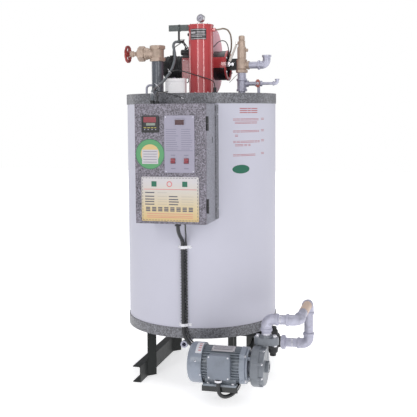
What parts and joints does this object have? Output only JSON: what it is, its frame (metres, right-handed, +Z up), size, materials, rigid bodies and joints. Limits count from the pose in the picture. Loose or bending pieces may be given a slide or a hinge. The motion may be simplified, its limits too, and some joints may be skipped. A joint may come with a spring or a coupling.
{
  "type": "small vertical steam boiler",
  "caption": "Upright insulated drum boiler on channel skids, with a top burner, hinged control box, steam and safety valves and a feed pump set.",
  "frame": {"origin": "on the floor on the drum's axis, at the middle of the four anchor holes", "axes": "+Z up, -Y towards the control box, +X towards the feed pipework"},
  "size_m": [0.98, 1.0045, 1.8009],
  "materials": {
    "white_enamel": "smooth white enamel",
    "hammered_grey": "hammered grey paint",
    "black_green_paint": "dark gloss paint",
    "red_gloss": "glossy red paint",
    "black_gloss": "glossy black paint",
    "grey_green_paint": "satin grey-green machine paint",
    "galvanised": "galvanised pipe",
    "bright_steel": "plain steel",
    "brass": "cast brass",
    "copper_pipe": "dull copper pipe",
    "black_iron": "black cast iron",
    "white_plastic": "white moulded housing",
    "black_plastic": "black moulded plastic",
    "pale_panel": "pale grey printed plate",
    "red_plastic": "red moulded plastic",
    "black_cord": "black corrugated conduit",
    "grey_cord": "grey flexible conduit"
  },
  "bodies": {
    "root": {"drum_shell": "white_enamel", "top_plate": "hammered_grey", "bottom_plate": "hammered_grey", "drum_bands": "hammered_grey", "skid_left": "black_green_paint", "skid_right": "black_green_paint", "legs": "black_green_paint", "blowdown_pipe": "galvanised", "drum_clips": "white_plastic", "control_box": "hammered_grey", "box_bracket": "hammered_grey", "box_hinges": "black_plastic", "steam_riser": "black_gloss", "steam_valve_body": "brass", "steam_valve_bonnet": "brass", "siphon_tube": "galvanised", "safety_riser": "galvanised", "safety_valve_body": "brass", "safety_valve_bonnet": "brass", "safety_outlet": "galvanised", "vent_valve": "galvanised", "burner_housing": "red_gloss", "burner_scroll": "red_gloss", "air_inlet": "black_gloss", "air_damper": "red_gloss", "fuel_pump": "black_iron", "motor_adapter": "red_gloss", "burner_motor": "black_iron", "ignition_unit": "black_plastic", "relay_box": "white_plastic", "support_bar": "hammered_grey", "pressure_gauge": "bright_steel", "fuel_pipe": "copper_pipe", "pump_motor_cowl": "grey_green_paint", "pump_motor_frame": "grey_green_paint", "pump_terminal_box": "grey_green_paint", "pump_motor_bell": "grey_green_paint", "pump_casing": "grey_green_paint", "discharge_flange": "grey_green_paint", "pump_base": "black_green_paint", "feed_fittings": "galvanised", "feed_pipes": "galvanised", "check_valve": "black_iron", "inlet_pipe": "black_iron", "pump_conduit": "black_cord", "burner_conduit": "grey_cord", "black_cables": "black_cord", "thin_leads": "black_cord", "cord_fittings": "black_plastic"},
    "door": {"control_box_door": "hammered_grey", "door_hinges": "black_plastic", "temperature_controller": "black_plastic", "switch_panel": "pale_panel"},
    "rocker_left": {"rocker_left": "red_plastic"},
    "rocker_right": {"rocker_right": "red_plastic"},
    "steam_handwheel": {"steam_handwheel": "red_gloss"},
    "safety_lever": {"safety_lever": "bright_steel"},
    "vent_handle": {"vent_handle": "red_plastic"}
  },
  "joints": [
    {"name": "box_door_hinge", "type": "hinge", "parent": "root", "child": "door", "pos_m": [0.1715, -0.544, 1.0765], "axis": [0, 0, 1], "range_deg": [0, 110]},
    {"name": "rocker_left_pivot", "type": "hinge", "parent": "door", "child": "rocker_left", "pos_m": [0.014, -0.5525, 1.091], "axis": [1, 0, 0], "range_deg": [0, 16]},
    {"name": "rocker_right_pivot", "type": "hinge", "parent": "door", "child": "rocker_right", "pos_m": [0.076, -0.5525, 1.091], "axis": [1, 0, 0], "range_deg": [0, 16]},
    {"name": "steam_valve_turn", "type": "hinge", "parent": "root", "child": "steam_handwheel", "pos_m": [-0.377, -0.04, 1.607], "axis": [-1, 0, 0], "range_deg": [0, 1080]},
    {"name": "safety_lever_pivot", "type": "hinge", "parent": "root", "child": "safety_lever", "pos_m": [0.195, -0.04, 1.648], "axis": [0, 1, 0], "range_deg": [0, 35]},
    {"name": "vent_valve_turn", "type": "hinge", "parent": "root", "child": "vent_handle", "pos_m": [0.304, -0.04, 1.447], "axis": [0, -1, 0], "range_deg": [0, 90]}
  ]
}
